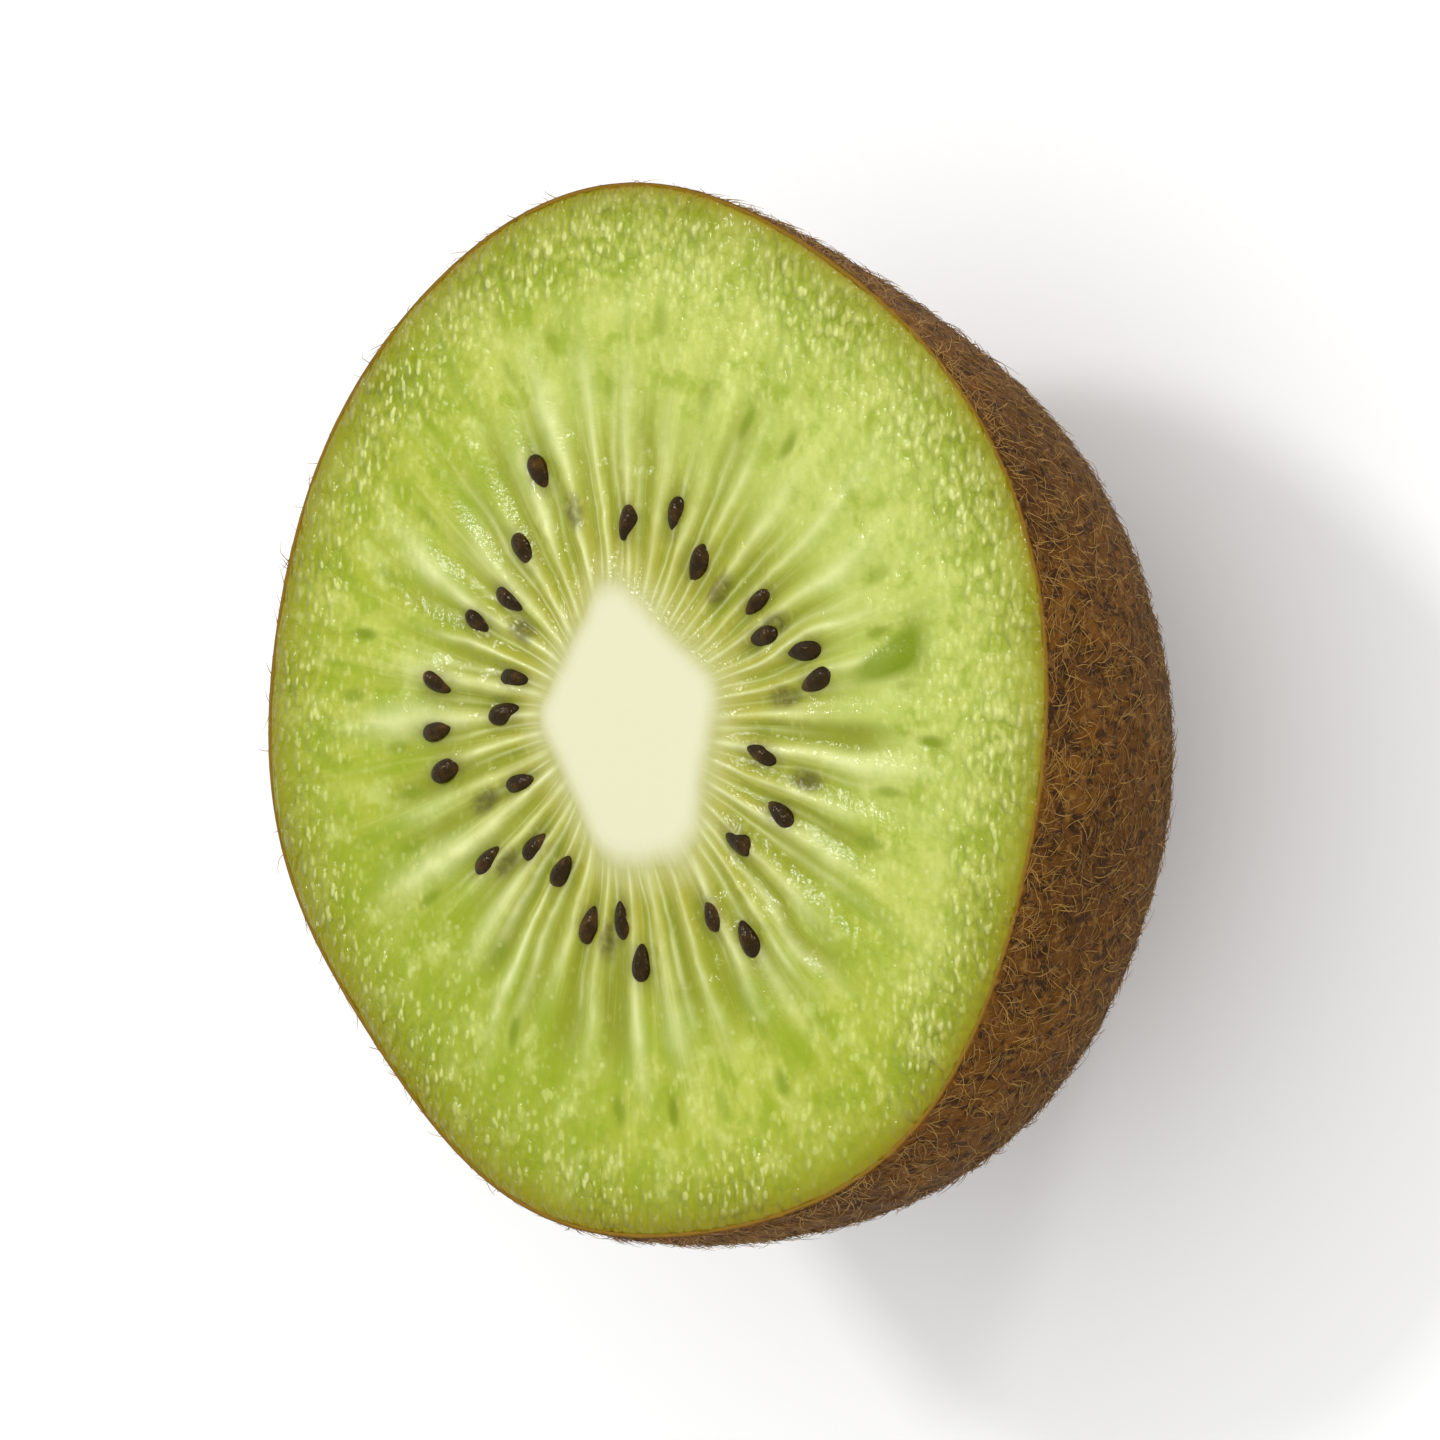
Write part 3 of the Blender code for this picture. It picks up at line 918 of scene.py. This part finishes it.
def make_hairs(name, material, seed, count, length, thickness, joints, lift, curl, gather=1.0):
    """Hairs as thin three-sided tapering tubes, rooted in the skin and bent along it.

    Lift is the least and the greatest angle at which they leave the skin, and curl is how far they
    bend sideways, as a share of their length.
    """
    draw = np.random.RandomState(seed)
    root, normal, down, side = skin_roots(draw, count, gather)
    sway = 90 + 70 * noise(root, 0.006, seed + 1) + draw.normal(0, 55, count)
    lying = down * np.sin(np.radians(sway))[:, None] + side * np.cos(np.radians(sway))[:, None]
    reach = length * draw.uniform(0.55, 1.25, count)
    rise = np.radians(draw.uniform(*lift, count))
    bend = draw.normal(0, curl, count)
    spots = np.linspace(0, 1, joints)
    line = spots[None, :, None]
    path = (root - normal * HAIR_ROOT)[:, None]
    path = path + lying[:, None] * (reach * np.cos(rise))[:, None, None] * line
    path = path + normal[:, None] * (reach * np.sin(rise))[:, None, None] * (line - 0.45 * line**2)
    path = path + np.cross(normal, lying)[:, None] * (reach * bend)[:, None, None] * line**2
    path[..., 2] = np.clip(path[..., 2], HAIR_LOWEST, HAIR_HIGHEST)

    taper = thickness * draw.uniform(0.7, 1.2, count)[:, None] * (1 - 0.75 * spots[None] ** 2)
    ahead = unit(np.gradient(path, axis=1))
    first_side = unit(np.cross(ahead, normal[:, None]))
    second_side = np.cross(first_side, ahead)
    corners = []
    for turn in np.radians((30, 150, 270)):
        corners.append(path + taper[..., None] * (np.cos(turn) * first_side + np.sin(turn) * second_side))
    points = np.stack(corners, axis=2).reshape(-1, 3)
    # Hairs near the cut are lighter: partly their golden fringe, partly painted light on the top of the
    # skin
    golden_fringe_and_top_light = smooth(0.0185, 0.0255, root[:, 2])
    tone = np.repeat(0.6 * draw.uniform(0, 1, count) ** 1.6 + 0.3 * golden_fringe_and_top_light, joints * 3)
    return make_mesh(name, points, strand_faces(count, joints), {"tone": tone}, material)


# Surroundings

def view_axes():
    """The picture's right, up and towards-the-camera directions."""
    lean = math.radians(VIEW_LEAN)
    back = Vector((math.sin(lean), 0, math.cos(lean)))
    up = Vector((0, 1, 0))
    return up.cross(back), up, back


def make_camera():
    """A camera at the photograph's viewing angle."""
    right, up, back = view_axes()
    data = bpy.data.cameras.new("camera")
    data.sensor_width = SENSOR_WIDTH
    data.lens = SENSOR_WIDTH * VIEW_DISTANCE / VIEW_WIDTH
    data.clip_start = 0.01
    camera = bpy.data.objects.new("camera", data)
    turn = Matrix((right, up, back)).transposed().to_4x4()
    camera.matrix_world = Matrix.Translation(VIEW_TARGET + back * VIEW_DISTANCE) @ turn
    bpy.context.scene.collection.objects.link(camera)
    bpy.context.scene.camera = camera


def make_light(name, towards, distance, size, watts):
    """A square soft light. Towards is its direction in the picture's right, up and back."""
    right, up, back = view_axes()
    way = (right * towards[0] + up * towards[1] + back * towards[2]).normalized()
    data = bpy.data.lights.new(name, "AREA")
    data.size = size
    data.energy = watts
    light = bpy.data.objects.new(name, data)
    light.location = VIEW_TARGET + way * distance
    light.rotation_euler = way.to_track_quat("Z", "Y").to_euler()
    bpy.context.scene.collection.objects.link(light)


def make_world():
    """Even pale light from all around."""
    world = bpy.data.worlds.new("studio")
    world.use_nodes = True
    background = world.node_tree.nodes["Background"]
    background.inputs["Color"].default_value = (1, 1, 1, 1)
    background.inputs["Strength"].default_value = WORLD_STRENGTH
    bpy.context.scene.world = world


def make_floor():
    """A pale floor at the height that the half rests on."""
    points = [(x * FLOOR_REACH, y * FLOOR_REACH, 0) for x, y in ((-1, -1), (1, -1), (1, 1), (-1, 1))]
    floor = make_mesh("floor", points, [[[0, 1, 2, 3]]], {}, floor_look())


def main():
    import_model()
    pieces = {
        "flesh": make_flesh(flesh_look()),
        "skin": make_skin(skin_look()),
        "seed": make_seeds(seed_look()),
        "scar": make_scar(scar_look()),
    }
    long_hair = hair_look("hair_long", (88, 58, 20), (174, 134, 62))
    short_hair = hair_look("hair_short", (60, 36, 12), (128, 88, 42))
    hairs = [
        make_hairs("hairs_long", long_hair, 41, 7600, 0.0012, 0.000024, 5, (5, 32), 0.5, 1.5),
        make_hairs("hairs_short", short_hair, 43, 14000, 0.0007, 0.000024, 3, (8, 40), 0.3),
        make_hairs("hairs_matted", short_hair, 47, 14000, 0.0005, 0.000030, 3, (2, 16), 0.4),
    ]
    for slot, piece in list(pieces.items()) + [("skin", hair) for hair in hairs]:
        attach(piece, "root")
        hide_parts("kiwi_half")

    make_floor()
    make_world()
    make_light("key", (-0.83, 0.40, 0.44), 0.55, 0.08, 0.82)
    make_light("top", (0.25, 0.70, 0.75), 0.50, 0.07, 0.50)
    make_light("front", (0.60, -0.10, 0.80), 0.70, 0.30, 0.60)
    make_camera()
    bpy.context.scene.view_settings.view_transform = "Standard"


main()
